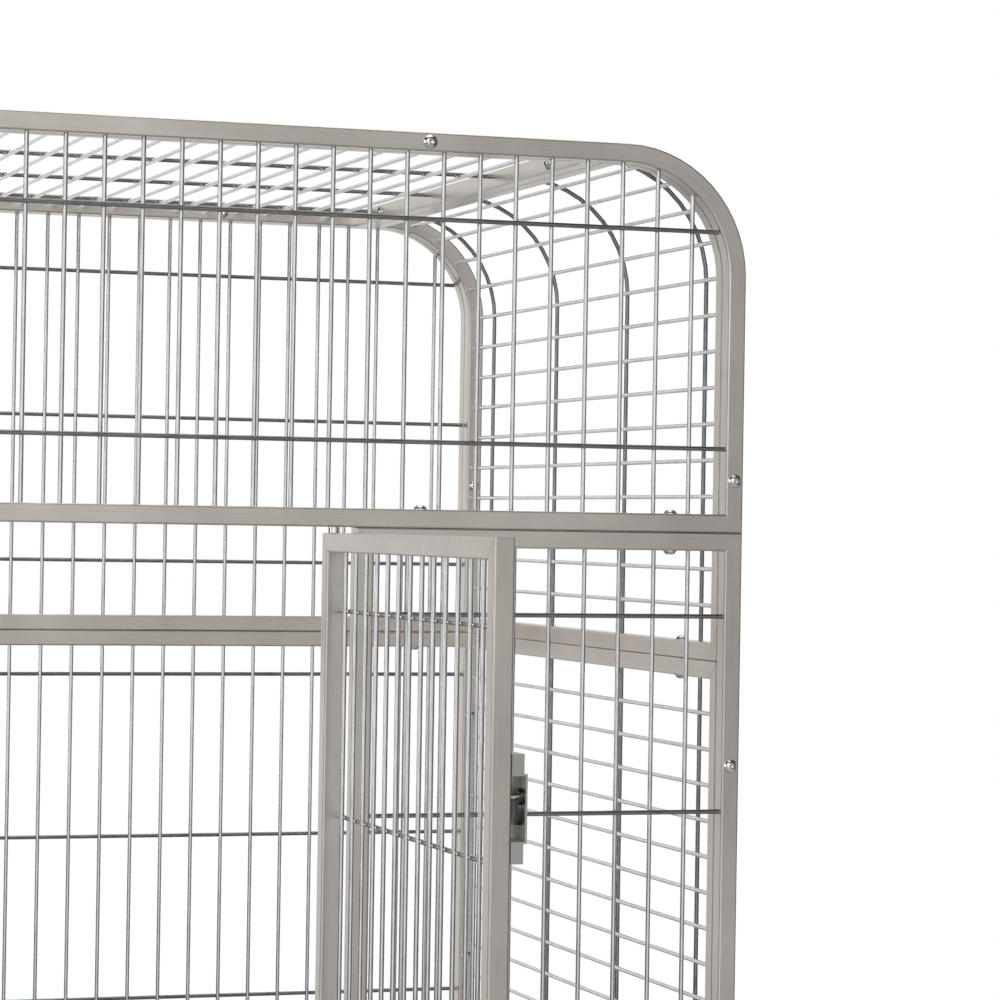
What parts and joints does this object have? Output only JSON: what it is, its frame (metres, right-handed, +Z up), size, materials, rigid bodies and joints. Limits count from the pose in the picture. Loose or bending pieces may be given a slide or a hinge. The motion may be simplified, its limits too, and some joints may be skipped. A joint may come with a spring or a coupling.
{
  "type": "bird cage on stand",
  "caption": "Large barred bird cage with an arched roof on a wheeled stand, with a hinged main door, feeder doors, slide-out tray and grille, and a lower shelf.",
  "frame": {"origin": "on the floor, under the middle of the cage", "axes": "+Z up, the front with the main door faces -Y, +X to the right seen from the front"},
  "size_m": [1.191, 1.253, 1.51],
  "materials": {
    "tube": "brushed stainless square tube, satin",
    "bar": "polished stainless round bar",
    "fastener": "bright stainless fasteners",
    "latch": "satin stainless sheet",
    "bowl": "spun and polished stainless",
    "sheet": "brushed stainless sheet",
    "castor_steel": "bright zinc plated pressing",
    "castor_wheel": "grey-black rubber tyre on a nylon centre"
  },
  "bodies": {
    "cage": {"back_arch": "tube", "back_lower_bars": "bar", "back_lower_frame": "tube", "back_upper_bars": "bar", "back_upper_rail": "tube", "castor_stems": "castor_steel", "door_stops": "latch", "front_arch": "tube", "front_lower_frame": "tube", "front_upper_bars": "bar", "front_upper_rail": "tube", "hinge_pins": "fastener", "latch_keepers": "latch", "left_fixed_bars": "bar", "left_hip_bars": "bar", "left_hip_frame": "tube", "left_side_bars": "bar", "left_side_frame": "tube", "post_bolts": "fastener", "right_fixed_bars": "bar", "right_hip_bars": "bar", "right_hip_frame": "tube", "right_side_bars": "bar", "right_side_frame": "tube", "roof_bars": "bar", "roof_bolts": "fastener", "roof_frame": "tube", "runners": "sheet", "seam_bolts": "fastener", "shelf": "sheet", "shelf_rails": "tube", "stand_legs": "tube", "stand_ring": "tube"},
    "door": {"door_frame": "tube", "door_bars": "bar", "hinge_bushes": "fastener", "latch_housings": "latch", "latch_pins": "fastener"},
    "upper_tongue": {"upper_latch_tongue": "latch"},
    "lower_tongue": {"lower_latch_tongue": "latch"},
    "right_feeder": {"right_feeder_door": "bar", "right_bowl": "bowl"},
    "left_feeder": {"left_feeder_door": "bar", "left_bowl": "bowl"},
    "tray_slide": {"tray": "sheet", "tray_pull": "bar"},
    "grille_slide": {"grille_frame": "tube", "grille_bars": "bar", "grille_pull": "bar"},
    "fork_1": {"castor_fork_1": "castor_steel"},
    "wheel_1": {"castor_wheel_1": "castor_wheel"},
    "fork_2": {"castor_fork_2": "castor_steel"},
    "wheel_2": {"castor_wheel_2": "castor_wheel"},
    "fork_3": {"castor_fork_3": "castor_steel"},
    "wheel_3": {"castor_wheel_3": "castor_wheel"},
    "fork_4": {"castor_fork_4": "castor_steel"},
    "wheel_4": {"castor_wheel_4": "castor_wheel"}
  },
  "joints": [
    {"name": "door_hinge", "type": "hinge", "parent": "cage", "child": "door", "pos_m": [0.217, -0.372, 0.54], "axis": [0, 0, 1], "range_deg": [-90, 34]},
    {"name": "upper_latch", "type": "hinge", "parent": "door", "child": "upper_tongue", "pos_m": [0.2327, -0.81, 0.984], "axis": [-1, 0, 0], "range_deg": [0, 90]},
    {"name": "lower_latch", "type": "hinge", "parent": "door", "child": "lower_tongue", "pos_m": [0.2327, -0.81, 0.729], "axis": [-1, 0, 0], "range_deg": [0, 90]},
    {"name": "right_feeder_hinge", "type": "hinge", "parent": "cage", "child": "right_feeder", "pos_m": [0.4733, -0.372, 0.677], "axis": [0, 0, 1], "range_deg": [0, 110]},
    {"name": "left_feeder_hinge", "type": "hinge", "parent": "cage", "child": "left_feeder", "pos_m": [-0.4733, -0.372, 0.677], "axis": [0, 0, -1], "range_deg": [0, 110]},
    {"name": "tray_slide", "type": "slide", "parent": "cage", "child": "tray_slide", "axis": [0, -1, 0], "range_m": [0, 0.62]},
    {"name": "grille_slide", "type": "slide", "parent": "cage", "child": "grille_slide", "axis": [0, -1, 0], "range_m": [0, 0.62]},
    {"name": "swivel_1", "type": "hinge", "parent": "cage", "child": "fork_1", "pos_m": [-0.5725, -0.3675, 0.092], "axis": [0, 0, 1], "continuous": true},
    {"name": "wheel_spin_1", "type": "hinge", "parent": "fork_1", "child": "wheel_1", "pos_m": [-0.5725, -0.3395, 0.0375], "axis": [1, 0, 0], "continuous": true},
    {"name": "swivel_2", "type": "hinge", "parent": "cage", "child": "fork_2", "pos_m": [0.5725, -0.3675, 0.092], "axis": [0, 0, 1], "continuous": true},
    {"name": "wheel_spin_2", "type": "hinge", "parent": "fork_2", "child": "wheel_2", "pos_m": [0.5725, -0.3395, 0.0375], "axis": [1, 0, 0], "continuous": true},
    {"name": "swivel_3", "type": "hinge", "parent": "cage", "child": "fork_3", "pos_m": [-0.5725, 0.3675, 0.092], "axis": [0, 0, 1], "continuous": true},
    {"name": "wheel_spin_3", "type": "hinge", "parent": "fork_3", "child": "wheel_3", "pos_m": [-0.5725, 0.3955, 0.0375], "axis": [1, 0, 0], "continuous": true},
    {"name": "swivel_4", "type": "hinge", "parent": "cage", "child": "fork_4", "pos_m": [0.5725, 0.3675, 0.092], "axis": [0, 0, 1], "continuous": true},
    {"name": "wheel_spin_4", "type": "hinge", "parent": "fork_4", "child": "wheel_4", "pos_m": [0.5725, 0.3955, 0.0375], "axis": [1, 0, 0], "continuous": true}
  ]
}
